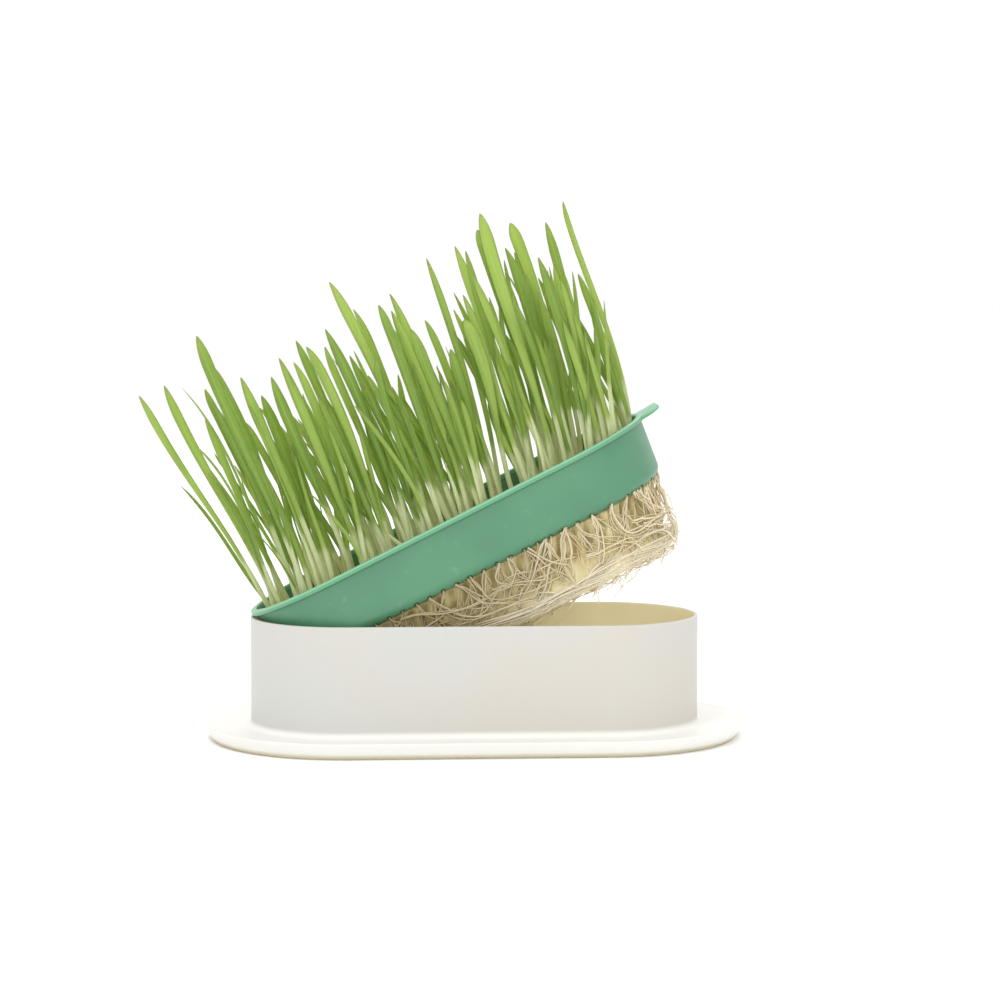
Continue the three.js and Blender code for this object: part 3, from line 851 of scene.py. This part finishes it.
# The long roots that stand out on the front of the mat, each with a few others close beside it: their
# places along the tray and over its lip.
LONG_ROOTS = [
    [(151, -28), (153, -35), (158, -40), (165, -43), (173, -49)],
    [(168, -28), (166, -36), (168, -43), (177, -47), (184, -46), (191, -45)],
    [(190, -28), (192, -32), (193, -39), (191, -45), (188, -47)],
    [(159, -28), (159, -35), (157, -43), (153, -48)],
    [(135, -33), (133, -39), (128, -44), (121, -48), (118, -49)],
    [(126, -28), (131, -37), (137, -43), (139, -49)],
    [(117, -28), (117, -34), (112, -39), (105, -40)],
    [(112, -28), (107, -34), (109, -39), (117, -41), (127, -44)],
    [(61, -31), (69, -31), (77, -37), (85, -40), (95, -41), (108, -38), (117, -41)],
    [(90, -28), (95, -35), (99, -41), (100, -48)],
    [(97, -28), (98, -36), (100, -42), (111, -47)],
    [(77, -28), (80, -36), (87, -43), (95, -47), (108, -47), (120, -50)],
    [(144, -28), (143, -36), (139, -41), (135, -46)],
    [(135, -28), (130, -33), (125, -39), (117, -44)],
    [(148, -43), (159, -44), (170, -46), (173, -52)],
    [(179, -28), (182, -32), (185, -39), (191, -44)],
    [(89, -48), (109, -52), (132, -52), (152, -52), (175, -53), (185, -54)],
    [(70, -44), (90, -50), (112, -54), (140, -54), (165, -55)],
    [(181, -28), (184, -36), (187, -42)],
    [(185, -28), (185, -33), (186, -38), (186, -42)],
    [(174, -39), (181, -42), (188, -43), (192, -45)],
    [(178, -43), (183, -46), (188, -46), (190, -44)],
    [(135, -28), (136, -36), (137, -42), (139, -51)],
    [(159, -28), (158, -33), (157, -38), (155, -43), (151, -46)],
    [(146, -28), (141, -36), (138, -42), (134, -47)],
    [(193, -29), (194, -37), (193, -42), (194, -48), (192, -51), (189, -56)],
    [(194, -29), (195, -39), (194, -45), (193, -51), (190, -56)],
    [(193, -28), (195, -33), (196, -36), (198, -37)],
    [(115, -54), (125, -53), (134, -52), (144, -51), (151, -52), (160, -51), (170, -53), (180, -55)],
    [(122, -55), (130, -53), (140, -53), (150, -55), (159, -55), (169, -56), (178, -58)],
]
LONG_WISPS = [
    [(170, -58), (164, -61), (157, -63), (151, -65)],
    [(158, -56), (157, -60), (156, -63)],
    [(149, -56), (146, -59), (143, -61)],
    [(168, -58), (162, -57), (156, -63)],
]
draw = np.random.default_rng(28)
long_lines = np.repeat([trace(places) for places in LONG_ROOTS], 3, axis=0)
count = len(long_lines)
fan = np.linspace(0.3, 1, ROOT_STEPS)[None, :, None] * draw.normal(0, 1.5, (count, 1, 3)) * (1, 0.4, 1)
long_roots = root_piece(
    "roots_long", long_lines + fan, draw.uniform(0.5, 1.05, count), draw, tones=(0.55, 0.96), wander=0.8
)

# Frayed wisps hang from the hem and trail towards the low end.
draw = np.random.default_rng(27)
count = 90
start = draw.uniform(0, full_turn, count)
trail = draw.normal(0, 1, count)
drop = draw.uniform(2, 9, count)
swung = columns(*around(start, 36.0), -58.5)
wisp_controls = []
for share in (0, 0.3, 0.6, 1.0):
    fall = columns(-5.0 * share * np.abs(trail) - share, 2.5 * share * trail, -drop * share**1.3)
    wisp_controls.append(swung + fall + share * draw.normal(0, 1.2, (count, 3)))
traced = np.repeat([trace(places) for places in LONG_WISPS], 2, axis=0)
wisp_lines = np.concatenate([bend(np.stack(wisp_controls, axis=1)), traced])
wisps = root_piece("roots_wisps", wisp_lines, draw.uniform(0.3, 0.6, len(wisp_lines)), draw, tones=(0.4, 0.9))

# The mat's underside.
draw = np.random.default_rng(25)
count = 300
along = draw.uniform(8, 192, count)
across = draw.uniform(-33, 33, count)
heading = draw.normal(0, 0.7, count)
run = draw.uniform(10, 34, count)
under = []
for share in (-0.5, -0.25, 0, 0.25, 0.5):
    reached = np.clip(along + run * share * np.cos(heading), 12, 190)
    beyond = np.clip(np.abs(reached - TRAY_MIDDLE) - TRAY_HALF_STRAIGHT, 0, 34)
    most = np.sqrt(36**2 - beyond**2)
    aside = np.clip(across + run * share * np.sin(heading), -most, most)
    under.append(columns(reached, aside, -60.0 + draw.normal(0, 0.8, count)))
under_lines = bend(np.stack(under, axis=1))
underside = root_piece("roots_underside", under_lines, draw.uniform(0.4, 0.8, count), draw)

# The beard: roots that reach the reservoir's floor under the low half of the tray and trail along it.
draw = np.random.default_rng(26)
count = 760
middle = (BEARD_START + BEARD_END) / 2
on_side = draw.random(count) < 0.42
turn = np.where(on_side, draw.choice([-1, 1], count) * math.pi / 2, draw.uniform(0, math.tau, count))
spine = beard_straight * np.where(on_side, draw.uniform(-1, 1, count), np.sign(np.cos(turn)))
reach = BEARD_RADIUS * draw.uniform(0.8, 1.04, count)
foot_x = middle + spine + reach * np.cos(turn)
foot_y = reach * np.sin(turn)
mat_above = 43.3 + 0.503 * foot_x
top = np.minimum(mat_above + 6, BEARD_TOP + 8)
trail = draw.normal(0, 8, (2, count))
squeeze = draw.uniform(0.86, 0.97, (2, count))
floor = ROOT_FLOOR + 0.6
inner_x = middle + (foot_x - middle) * squeeze
beard_x = columns(*inner_x, *[foot_x + share * trail[0] for share in (0.2, 0.6, 1)])
beard_y = columns(*(foot_y * squeeze), *[foot_y + share * trail[1] for share in (0, 0.3, 0.7)])
beard_z = columns(top, top * 0.7, top * 0.25 + 3, floor, floor + 0.2)
past_end = np.maximum(np.abs(beard_x - middle) - beard_straight, 0)
room = np.sqrt(np.maximum(39.5**2 - past_end**2, 1))
within = [np.clip(beard_x, BEARD_START, BEARD_END + 4), np.clip(beard_y, -room, room), beard_z]
beard_lines = bend(np.stack(within, axis=2))
thickness = draw.uniform(0.45, 0.9, count)
upright = Matrix.Identity(4)
beard_roots = root_piece("roots_beard", beard_lines, thickness, draw, frame_of=upright, wander=0.7)

SHADED_END = (-35 * MM, 65 * MM)  # along the reservoir, where the painted shade on the roots fades out

# Fresh roots are cream, older ones straw, and a very few are rusty. Some light comes through them. Towards
# the low end they are painted darker as painted shade, and they carry a faint painted glow.
root_skin = Finish("root_threads", roughness=0.5)
spot = root_skin.place()
tone = root_skin.attribute("tone")
patch = root_skin.noise(spot, 60.0, 3.0)
root_tone = root_skin.mix(root_skin.step(tone, 0.1, 0.75), shade(198, 184, 139), shade(228, 217, 188))
hem_level = lip_level + (ROOT_BOTTOM + HEM_HEIGHT) * MM
height_up = root_skin.axis(root_skin.place(turn=(0, TILT, 0)), 2)
hem_share = root_skin.step(height_up, hem_level, hem_level + 6 * MM, 1.0, 0.0)
# Painted shade: the roots are painted darker towards the low end, under the tray.
shaded_end = root_skin.step(root_skin.axis(spot, 0), *SHADED_END, 1.0, 0.0)
root_tone = root_skin.layers(
    root_tone,
    (root_skin.step(tone, 0.972, 0.99), (222, 172, 98)),
    (root_skin.step(patch, 0.5, 0.75) * 0.4, (214, 194, 142)),
    (hem_share * 0.6, (235, 230, 214)),
    (shaded_end * 0.7, (142, 128, 86)),
)
root_skin.join(root_skin.shader, {"Base Color": root_tone, "Roughness": 0.4 + 0.25 * patch})
root_skin.bump(root_skin.noise(spot, 1500.0), 0.05 * MM)
# Painted light: a faint glow, less towards the low end, that lifts the shade among the threads.
root_skin.glow(root_skin.mix(shaded_end * 0.9, shade(236, 222, 178), shade(116, 102, 66)), 0.075)
through = root_skin.node("BsdfTranslucent", {}, {"Color": shade(244, 232, 200)})
shown = Value(root_skin, root_skin.shader.outputs["BSDF"])
root_skin.join(root_skin.output, {"Surface": root_skin.node("MixShader", {}, {0: 0.2, 1: shown, 2: through})})

# The mat behind them is tan, with painted shade darkening its folds, most near the tray, and it is paler
# along the hem. Its low end is painted darker as painted shade, and it has a faint painted glow.
mat_felt = Finish("root_felt", roughness=0.75)
spot = mat_felt.place()
fibres = mat_felt.noise(mat_felt.place(turn=(0, TILT / 3, 0), stretch=(12, 12, 0.9)), 80.0, 4.0)
patch = mat_felt.noise(spot, 45.0, 3.0)
height_up = mat_felt.axis(mat_felt.place(turn=(0, TILT, 0)), 2)
felt_tone = mat_felt.mix(mat_felt.step(fibres, 0.3, 0.7), shade(180, 164, 114), shade(207, 193, 146))
hem_share = mat_felt.step(height_up, hem_level - 2 * MM, hem_level + 2 * MM, 1.0, 0.0)
pale_share = mat_felt.step(height_up, hem_level, hem_level + 15 * MM, 1.0, 0.0)
# Painted shade in the mat's folds, read from its points.
fold_shade_share = mat_felt.step(mat_felt.attribute("painted_fold_shade"), 0.2, 1.2)
# Painted shade: the mat is painted darker towards the low end, under the tray.
shaded_end = mat_felt.step(mat_felt.axis(spot, 0), *SHADED_END, 1.0, 0.0)
felt_tone = mat_felt.layers(
    felt_tone,
    (mat_felt.step(patch, 0.45, 0.7) * 0.4, (176, 150, 96)),
    (hem_share * 0.85, (240, 232, 202)),
    (pale_share * 0.5, (234, 222, 178)),
    (fold_shade_share * (0.8 - 0.35 * pale_share), (136, 120, 72)),
    (shaded_end * 0.65, (116, 104, 58)),
)
mat_felt.join(mat_felt.shader, {"Base Color": felt_tone, "Roughness": 0.6 + 0.3 * fibres})
mat_felt.bump(fibres, 0.25 * MM)
# Painted light: a faint glow on the mat, less towards the low end.
mat_felt.glow(mat_felt.mix(shaded_end * 0.9, shade(236, 220, 160), shade(116, 102, 60)), 0.045)
settle(core, mat_felt, "root", "root_mat")
for roots in (falling, curtain, sweeping, hem, wisps, long_roots, underside, beard_roots):
    settle(roots, root_skin, "root")

# ---------------------------------------------------------------- grass
# Each seedling is a round pale sheath that opens, a few centimetres up, into one flat blade with a fold
# down its middle. The blades lean towards the light and overlap. They grow in 48 tufts, in columns
# along the tray, with a parting between the left and the right group.

SHOOT_STEPS = 34
SHOOT_SIDES = 8
SHEATH_WIDTH = 2.3
BLADE_DEPTH = 0.42
TUFT_REACH = 15.0
TUFT_ROWS = 29.0  # the outer rows' distance from the middle
SHOOTS_PER_TUFT = (3, 2, 2, 2)  # from the front row to the back

# Each column: its place, the top of its mass of blades over the lip, and its lean in degrees.
COLUMNS = [
    (13, 80, -2.0),
    (28.3, 88, 3.5),
    (43.6, 86, 5.5),
    (58.9, 88, 6.0),
    (74.2, 88, 6.5),
    (89.5, 90, 7.0),
    (104.8, 92, 7.5),
    (120.1, 74, 8.5),
    (142.5, 82, 10.5),
    (154.5, 95, 12.0),
    (166.5, 88, 13.0),
    (178.5, 78, 11.0),
    (189.4, 62, 8.0),
]
# The tall blades that give the grass its outline: the column and the row they grow in, where the foot
# and the tip are along the tray, the tip's height over the lip, and the blade's width.
TALL_BLADES = [
    (0, 1, 8, 1, 111, 4.6),
    (0, 1, 12, 13, 110, 4.2),
    (0, 2, 14, 18, 105, 4.0),
    (0, 1, 18, 22, 88, 3.8),
    (0, 1, 10, 13, 66, 3.0),
    (1, 0, 27, 38, 123, 5.4),
    (1, 1, 24, 35, 111, 4.8),
    (1, 0, 22, 30, 92, 5.0),
    (1, 2, 21, 27, 100, 4.2),
    (1, 0, 29, 34, 73, 4.0),
    (1, 0, 34, 45, 85, 5.0),
    (1, 2, 26, 33, 80, 4.2),
    (1, 1, 23, 31, 70, 3.8),
    (2, 0, 37, 47, 98, 5.0),
    (2, 1, 42, 50, 86, 5.2),
    (2, 0, 50, 59, 92, 5.6),
    (2, 1, 37, 44, 72, 4.6),
    (3, 0, 57, 66, 98, 4.6),
    (3, 1, 60, 70, 93, 4.8),
    (3, 2, 65, 75, 101, 4.2),
    (3, 0, 59, 68, 79, 4.6),
    (3, 0, 66, 73, 54, 3.6),
    (4, 0, 69, 79, 97, 5.0),
    (4, 1, 76, 86, 93, 4.6),
    (4, 0, 80, 90, 100, 5.2),
    (4, 0, 80, 59, 38, 2.0),
    (4, 0, 80, 89, 67, 4.2),
    (4, 0, 67, 76, 68, 4.4),
    (5, 0, 88, 101, 118, 5.2),
    (5, 1, 85, 94, 84, 4.8),
    (5, 2, 94, 105, 102, 5.0),
    (5, 0, 96, 105, 64, 3.6),
    (6, 0, 104, 116, 99, 4.8),
    (6, 1, 111, 123, 101, 5.0),
    (6, 0, 108, 120, 94, 5.4),
    (6, 0, 117, 101, 70, 3.6),
    (6, 1, 103, 116, 89, 5.0),
    (6, 0, 103, 115, 77, 5.5),
    (6, 0, 107, 118, 69, 5.0),
    (7, 0, 114, 124, 83, 5.2),
    (7, 1, 122, 145, 108, 3.6),
    (7, 0, 131, 147, 76, 6.6),
    (7, 1, 118, 132, 83, 4.0),
    (7, 0, 121, 136, 67, 5.0),
    (7, 1, 125, 147, 75, 3.8),
    (8, 1, 138, 159, 107, 5.0),
    (8, 0, 142, 162, 103, 4.0),
    (8, 0, 139, 152, 86, 4.6),
    (8, 2, 141, 150, 88, 3.4),
    (8, 0, 142, 154, 56, 4.6),
    (8, 0, 138, 140, 37, 3.4),
    (9, 0, 150, 175, 115, 6.4),
    (9, 1, 150, 171, 109, 6.0),
    (9, 0, 157, 179, 96, 5.6),
    (9, 1, 155, 174, 82, 5.0),
    (9, 0, 153, 172, 76, 5.0),
    (10, 1, 162, 187, 105, 5.6),
    (10, 0, 168, 189, 86, 5.2),
    (10, 2, 166, 184, 92, 4.6),
    (10, 2, 162, 184, 84, 4.6),
    (10, 1, 164, 183, 72, 5.0),
    (10, 0, 169, 186, 61, 4.4),
    (11, 1, 179, 201, 98, 4.4),
    (11, 0, 177, 192, 72, 4.8),
    (11, 2, 181, 199, 78, 4.4),
    (11, 0, 180, 193, 47, 4.0),
    (12, 1, 192, 213, 103, 3.4),
    (12, 2, 189, 205, 70, 3.6),
    (12, 1, 193, 202, 40, 2.6),
]

blade_form = turned("blade_form", [(1, step) for step in range(SHOOT_STEPS)], steps=SHOOT_SIDES)
blade_points = points_of(blade_form) / MM
blade_ring = np.rint(blade_points[:, 2]).astype(int)
shoot_share = 1 - (1 - np.linspace(0, 1, SHOOT_STEPS)) ** 1.35  # closer together near the tip


def rise(value, start, end):
    """0 below start, 1 above end, and a smooth rise between."""
    share = np.clip((value - start) / (end - start), 0, 1)
    return share * share * (3 - 2 * share)


def in_bed(along, across):
    """How far across a foot may stand at its place along the tray."""
    past_end = max(abs(along - TRAY_MIDDLE) - TRAY_HALF_STRAIGHT, 0)
    most = math.sqrt(max(36.0**2 - past_end**2, 9))
    return min(max(across, -most), most)


def seedlings(name, feet, tips, guides, widths, twists, tones, draw):
    """A tuft of seedlings as one piece, from their feet and tips in the tray's frame. Each leaves its
    foot towards its guide, and its face turns away from the front by its twist."""
    count = len(feet)
    chord = tips - feet
    length = np.linalg.norm(chord, axis=1)
    first = (guides - feet) * (length / np.linalg.norm(guides - feet, axis=1))[:, None]
    bow = np.radians(2.8 + draw.normal(0, 1, (2, count)) * (1.6 + 4.2 * twists))
    swings = []
    for part in (0, 1):
        sideways = draw.normal(0, 0.05, count) * length
        swings.append(np.stack([0.45 * np.tan(bow[part]) * chord[:, 2], sideways, 0 * sideways], axis=1))
    controls = np.stack([feet, feet + first / 3 + swings[0], feet + chord * 2 / 3 + swings[1], tips], axis=1)
    t = shoot_share[:, None]
    blend = np.concatenate([(1 - t) ** 3, 3 * t * (1 - t) ** 2, 3 * t**2 * (1 - t), t**3], axis=1)
    lines = np.einsum("sk,lkc->lsc", blend, controls)
    up = shoot_share[None, :] * length[:, None]
    sheath = draw.uniform(15, 41, (count, 1)) * np.minimum(length[:, None] / 90, 1)
    blade = length[:, None] - sheath
    opening = rise(up, sheath - 4, sheath + draw.uniform(0.6, 1.0, (count, 1)) * blade)
    point = np.clip((1 - shoot_share[None, :]) * length[:, None] / draw.uniform(7, 25, (count, 1)), 0, 1)
    narrow = (1 - (1 - point) ** 2) ** 0.75
    wide = (SHEATH_WIDTH + (widths[:, None] - SHEATH_WIDTH) * opening) * (0.05 + 0.95 * narrow)
    deep = SHEATH_WIDTH * 0.92 + (BLADE_DEPTH - SHEATH_WIDTH * 0.92) * rise(up, sheath - 14, sheath + 8)
    deep = deep * (0.25 + 0.75 * point)
    fold = wide * draw.uniform(0.08, 0.3, (count, 1)) * rise(up, sheath - 8, sheath + 14)
    twist = draw.normal(0, 1, (2, count, 1)) * twists[None, :, None]
    turn = 0.7 * twist[0] + twist[1] * shoot_share[None, :]
    facing = np.stack([np.cos(turn), np.sin(turn), 0 * turn], axis=2)
    coordinates = sweep(blade_form, lines, wide, deep, fold, facing)
    piece = copies(
        name,
        blade_form,
        coordinates,
        tone=tones[:, None],
        across=blade_points[None, :, 0],
        along=(up / length[:, None])[:, blade_ring],
        pale=(1 - rise(up, sheath - 3, sheath + 4))[:, blade_ring],
        foot=(1 - rise(up, 3, 14))[:, blade_ring],
    )
    put_in(piece, in_tray)
    bpy.ops.object.shade_smooth()
    return piece


# Blades from deep to yellow green with fine veins and painted highlights along their edges; sheaths nearly
# white at the foot; some light comes through the blades, and they carry a faint painted glow.
blade_skin = Finish("grass_blade", roughness=0.45)
spot = blade_skin.place()
tone, across = blade_skin.attribute("tone"), blade_skin.attribute("across")
along, pale = blade_skin.attribute("along"), blade_skin.attribute("pale")
cloud = blade_skin.noise(spot, 55.0, 3.0)
depth = blade_skin.step(tone + 0.35 * cloud, 0.2, 0.85)
blade_tone = blade_skin.mix(depth, shade(113, 146, 59), shade(176, 200, 102))
streaks = blade_skin.noise(blade_skin.place(turn=(0, TILT * 0.8, 0), stretch=(1, 1, 0.05)), 240.0, 2.0)
veins = blade_skin.node("Math", {"operation": "SINE"}, {0: across * 26.0})
midrib = blade_skin.step(across * across, 0.0, 0.04, 1.0, 0.0)
# Painted highlight: the blades' edges are painted lighter, for the backlight that rims them.
edge_highlight = blade_skin.step(across * across, 0.6, 0.95)
blade_tone = blade_skin.layers(
    blade_tone,
    (blade_skin.step(tone, 0.85, 0.98) * 0.8, (190, 210, 90)),
    (blade_skin.step(streaks, 0.42, 0.66) * 0.35, (88, 124, 44)),
    (blade_skin.step(veins, 0.2, 1.0) * 0.22, (190, 212, 122)),
    (midrib * 0.32, (194, 214, 130)),
    (blade_skin.step(along, 0.9, 1.0) * 0.4, (196, 212, 126)),
    (edge_highlight * 0.5, (210, 226, 152)),
)
in_sheath = blade_skin.step(pale, 0.0, 1.0)
sheath_tone = blade_skin.mix(blade_skin.step(veins, -0.4, 1.0), shade(216, 222, 164), shade(242, 244, 212))
blade_tone = blade_skin.mix(in_sheath * 0.92, blade_tone, sheath_tone)
foot_share = blade_skin.attribute("foot") * blade_skin.step(tone, 0.3, 0.8)
blade_tone = blade_skin.layers(blade_tone, (foot_share * 0.22, (206, 170, 124)))
blade_skin.join(blade_skin.shader, {"Base Color": blade_tone, "Roughness": 0.36 + 0.2 * cloud})
# Painted light: a faint glow, paler on the sheaths, that lifts the shade inside the tufts.
blade_skin.glow(blade_skin.mix(in_sheath, shade(106, 136, 54), shade(184, 192, 146)), 0.11)
blade_skin.bump(veins + 0.5 * blade_skin.noise(spot, 900.0), 0.06 * MM)
glow = blade_skin.node("BsdfTranslucent", {}, {"Color": shade(210, 228, 124)})
shown = Value(blade_skin, blade_skin.shader.outputs["BSDF"])
lit = blade_skin.node("MixShader", {}, {0: 0.42 - 0.08 * pale, 1: shown, 2: glow})
blade_skin.join(blade_skin.output, {"Surface": lit})

number = 0
for column, (place, mass, lean) in enumerate(COLUMNS):
    end_column = column in (0, len(COLUMNS) - 1)
    reach = TUFT_REACH if column < 8 else 11.5
    lightness = min(0.7 + 0.06 * column, 1)
    clumps = np.random.default_rng(column).normal((-0.25 * reach, 0.25 * reach), 0.5)
    for row in (1, 2) if end_column else range(4):
        number += 1
        draw = np.random.default_rng(100 + number)
        middle_y = TUFT_ROWS * (2 * row / 3 - 1) * (0.88 if end_column else 1)
        shoots = []
        for tall_column, tall_row, foot, tip, height, width in TALL_BLADES:
            if (tall_column, tall_row) == (column, row):
                y = in_bed(foot, middle_y + draw.uniform(-5, 5))
                tip = (tip, y + draw.normal(0, 4), height)
                tone = draw.uniform(0.05, 0.85) * lightness
                shoots.append(((foot, y, BED_TOP + 0.5), tip, tip, width, 0.5, tone))
        clusters = [(clumps[side], draw.uniform(-6, 6)) for side in (0, 1)]
        for shoot in range(SHOOTS_PER_TUFT[row]):
            at = clusters[shoot % 2] + draw.normal(0, 1, 2) * (1.1, 1.7)
            foot = np.array([place + at[0], in_bed(place + at[0], middle_y + at[1]), BED_TOP + 0.5])
            height = mass * draw.uniform(0.55, 1.02)
            slant = math.tan(math.radians(lean + draw.normal(0, 4.4)))
            sway = middle_y * 0.08 + draw.normal(0, 5)
            off = np.clip(foot[1] + sway, -37 - 0.1 * height, 37 + 0.1 * height)
            tip = (foot[0] + slant * (height - BED_TOP), off, height)
            shoots.append((foot, tip, tip, 1.9 + 2.5 * draw.random() ** 1.3, 0.9, draw.random() * lightness))
            if draw.random() < (0.6 if column < 8 else 0.35):
                side = {0: 1, len(COLUMNS) - 1: -1}.get(column, draw.choice([-1, 1]))
                aside = math.tan(math.radians(lean + side * draw.uniform(5, 13)))
                height *= draw.uniform(0.55, 0.98)
                beside = foot + (draw.normal(0, 0.5), draw.normal(0, 0.5), 0)
                off = np.clip(foot[1] + sway + draw.normal(0, 4), -36, 36)
                own_tip = (foot[0] + aside * (height - BED_TOP), off, height)
                width = draw.uniform(1.8, 3.2)
                shoots.append((beside, own_tip, tip, width, 0.9, draw.random() * lightness))
        tuft = seedlings(f"seedlings_{number:02d}", *map(np.array, zip(*shoots)), draw)
        settle(tuft, blade_skin, "grass", f"grass_tuft_{number:02d}")

for form in (thread, blade_form):
    bpy.data.objects.remove(form)
